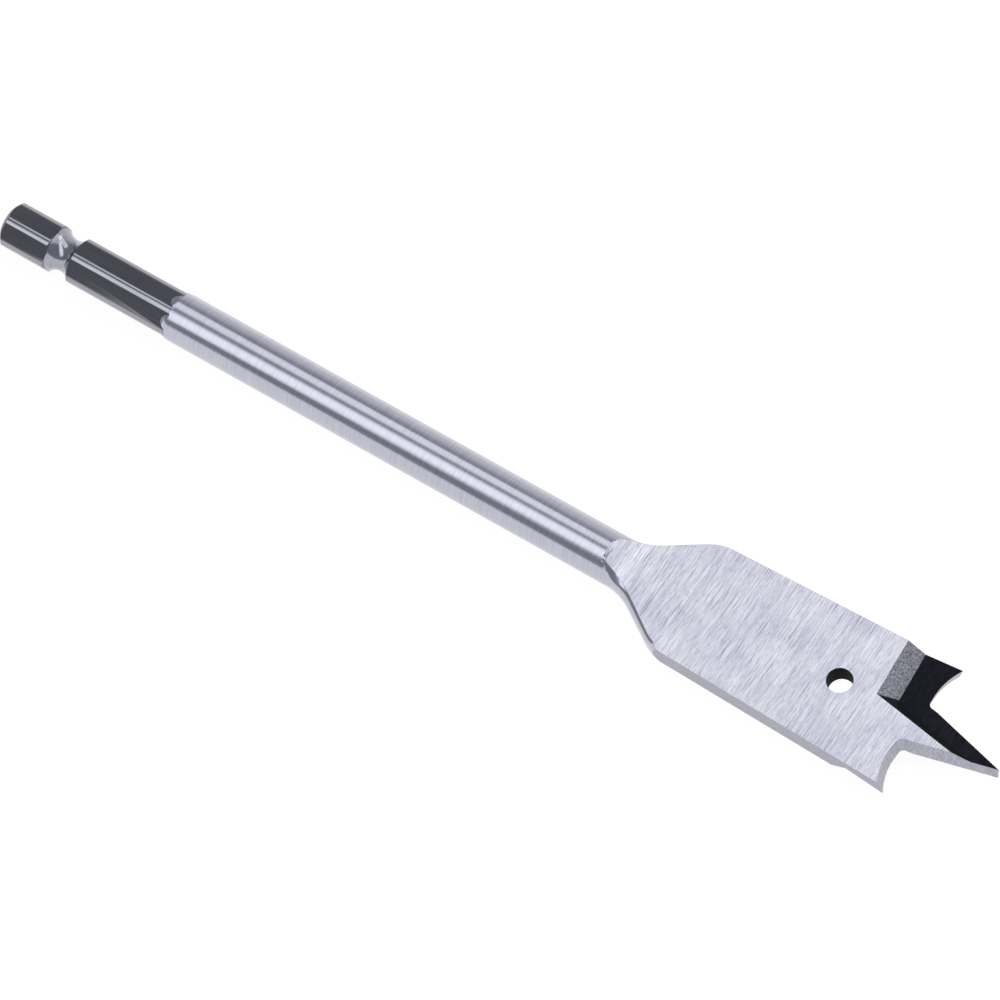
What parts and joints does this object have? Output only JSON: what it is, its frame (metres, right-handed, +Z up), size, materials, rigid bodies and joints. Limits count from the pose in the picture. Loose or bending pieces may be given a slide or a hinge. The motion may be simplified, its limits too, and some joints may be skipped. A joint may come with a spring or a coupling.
{
  "type": "spade drill bit",
  "caption": "Flat wood-boring bit with a grooved hexagon shank, a round shaft, and a flat blade that has hollow-ground lips, spurs, a long point and a hanging hole.",
  "frame": {"origin": "on the floor, below the middle of the bit's length and of its width, as the bit lies at rest", "axes": "+X along the bit's axis towards the point, +Y across the blade, +Z up from the floor"},
  "size_m": [0.155, 0.0192, 0.0069],
  "materials": {
    "tool_steel": "ground and brushed steel with a satin shaft"
  },
  "bodies": {
    "root": {"drill_bit": "tool_steel"}
  },
  "joints": []
}
